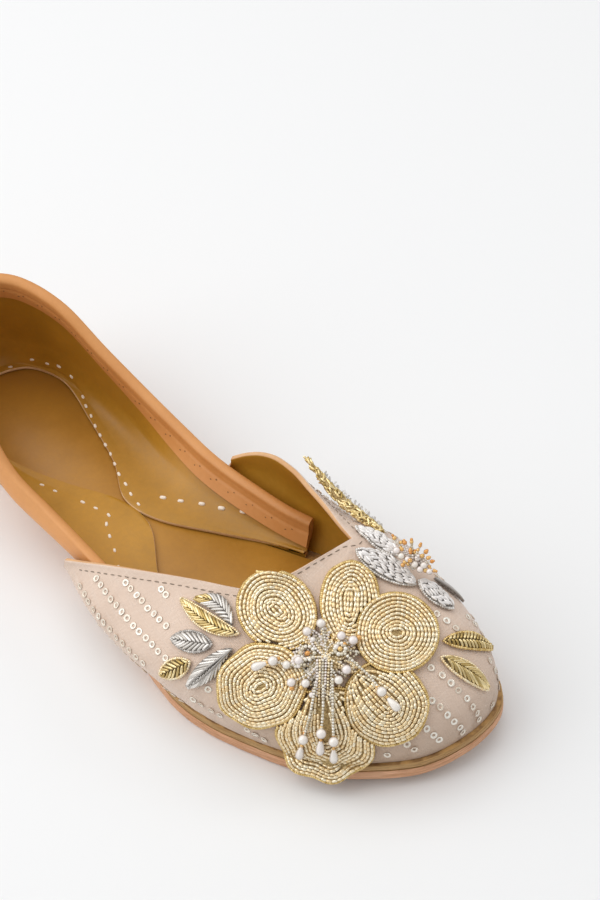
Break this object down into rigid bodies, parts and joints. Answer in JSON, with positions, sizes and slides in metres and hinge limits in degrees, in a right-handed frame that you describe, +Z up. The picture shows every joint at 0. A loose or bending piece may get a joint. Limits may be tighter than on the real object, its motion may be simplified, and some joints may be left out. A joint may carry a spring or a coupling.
{
  "type": "mojari shoe",
  "caption": "Flat slip-on shoe with a leather heel wall, a silk vamp with an open V throat and wings, a beaded flower, and leaf motifs.",
  "frame": {"origin": "centre of the shoe's footprint, on the floor that it stands on", "axes": "+Y along the shoe to the toe, +X to the lateral side, +Z up"},
  "size_m": [0.0913, 0.2406, 0.0564],
  "materials": {
    "outsole_leather": "cut leather edge, slightly rough",
    "midsole_leather": "golden-brown leather",
    "lining_leather": "smooth golden-brown leather, satin",
    "quarter_leather": "smooth tan leather",
    "binding_leather": "folded tan leather strip with needle holes",
    "silk": "blush silk with a fine weave",
    "gold_bead": "rings of short cut metallic beads",
    "gold_wire": "coiled bullion wire",
    "silver_wire": "coiled bullion wire, a little grey",
    "pearl": "imitation pearl",
    "clear_bead": "clear beads with orange-gold tips"
  },
  "bodies": {
    "root": {"outsole": "outsole_leather", "midsole": "midsole_leather", "insole": "lining_leather", "quarter": "quarter_leather", "collar_binding": "binding_leather", "vamp": "silk", "flower_centre": "gold_bead", "gold_petal_1": "gold_bead", "gold_petal_2": "gold_bead", "gold_petal_3": "gold_bead", "gold_petal_4": "gold_bead", "gold_petal_5": "gold_bead", "gold_petal_6": "gold_bead", "gold_spike": "gold_wire", "side_leaf_1": "gold_wire", "side_leaf_4": "gold_wire", "toe_leaf_1": "gold_wire", "toe_leaf_2": "gold_wire", "side_leaf_2": "silver_wire", "side_leaf_3": "silver_wire", "side_leaf_5": "silver_wire", "silver_petal_1": "silver_wire", "silver_petal_2": "silver_wire", "silver_petal_3": "silver_wire", "grey_leaf": "silver_wire", "pearl_string_1": "pearl", "pearl_string_2": "pearl", "pearl_string_3": "pearl", "pearl_string_4": "pearl", "pearl_string_5": "pearl", "stamens": "clear_bead"}
  },
  "joints": []
}
